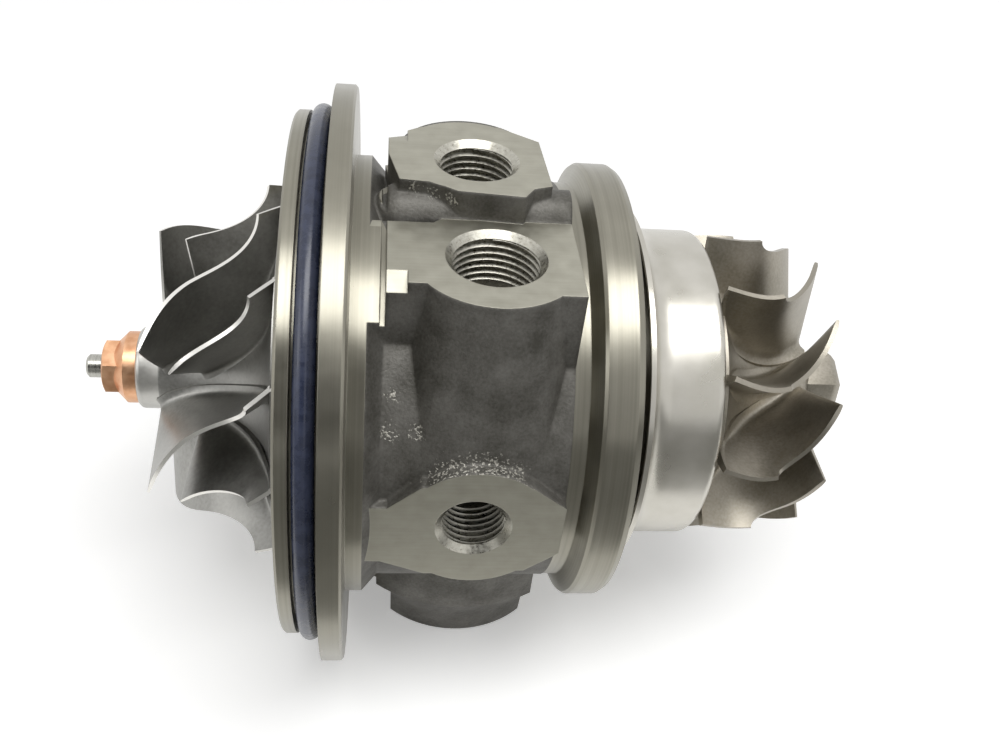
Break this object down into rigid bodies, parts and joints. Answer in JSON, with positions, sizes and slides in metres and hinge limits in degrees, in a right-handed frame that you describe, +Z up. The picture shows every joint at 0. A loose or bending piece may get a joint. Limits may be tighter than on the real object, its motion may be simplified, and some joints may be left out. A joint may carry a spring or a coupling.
{
  "type": "turbocharger cartridge",
  "caption": "Turbocharger centre cartridge: a cast bearing housing with threaded oil and coolant ports carries a rotor with a compressor wheel and a turbine wheel.",
  "frame": {"origin": "on the shaft axis, at the compressor-side face of the large flange", "axes": "+X along the shaft from the compressor wheel towards the turbine wheel, +Z up from the drain face towards the oil inlet, -Y towards the side coolant port"},
  "size_m": [0.1676, 0.124, 0.124],
  "materials": {
    "cast_iron_housing": "as cast, with turned ends and milled pads",
    "blue_rubber": "satin",
    "aluminium_plate": "turned",
    "black_rubber": "satin",
    "spring_steel": "oiled",
    "sheet_steel": "pressed",
    "bronze": "turned",
    "stainless_sheet": "satin",
    "ground_steel": "ground",
    "cast_aluminium": "fine cast",
    "coppered_steel": "copper plated",
    "nickel_alloy": "investment cast"
  },
  "bodies": {
    "housing": {"bearing_housing": "cast_iron_housing", "flange_o_ring": "blue_rubber", "seal_plate": "aluminium_plate", "seal_plate_o_ring": "black_rubber", "seal_plate_snap_ring": "spring_steel", "oil_deflector": "sheet_steel", "thrust_bearing": "bronze", "thrust_bearing_pins": "spring_steel", "compressor_seal_ring": "spring_steel", "turbine_seal_ring": "spring_steel", "compressor_bearing_rings": "spring_steel", "turbine_bearing_rings": "spring_steel", "heat_shield": "stainless_sheet"},
    "rotor": {"shaft": "ground_steel", "thrust_collar": "ground_steel", "thrust_sleeve": "ground_steel", "compressor_wheel": "cast_aluminium", "shaft_nut": "coppered_steel", "turbine_wheel": "nickel_alloy"},
    "compressor_bush": {"compressor_journal_bearing": "bronze"},
    "turbine_bush": {"turbine_journal_bearing": "bronze"}
  },
  "joints": [
    {"name": "rotor_spin", "type": "hinge", "parent": "housing", "child": "rotor", "pos_m": [0, 0, 0], "axis": [1, 0, 0], "continuous": true},
    {"name": "compressor_bush_spin", "type": "hinge", "parent": "housing", "child": "compressor_bush", "pos_m": [0.02, 0, 0], "axis": [1, 0, 0], "continuous": true},
    {"name": "turbine_bush_spin", "type": "hinge", "parent": "housing", "child": "turbine_bush", "pos_m": [0.053, 0, 0], "axis": [1, 0, 0], "continuous": true}
  ],
  "couplings": [
    {"joint": "compressor_bush_spin", "follows": "rotor_spin", "ratio": 0.3},
    {"joint": "turbine_bush_spin", "follows": "rotor_spin", "ratio": 0.3}
  ]
}
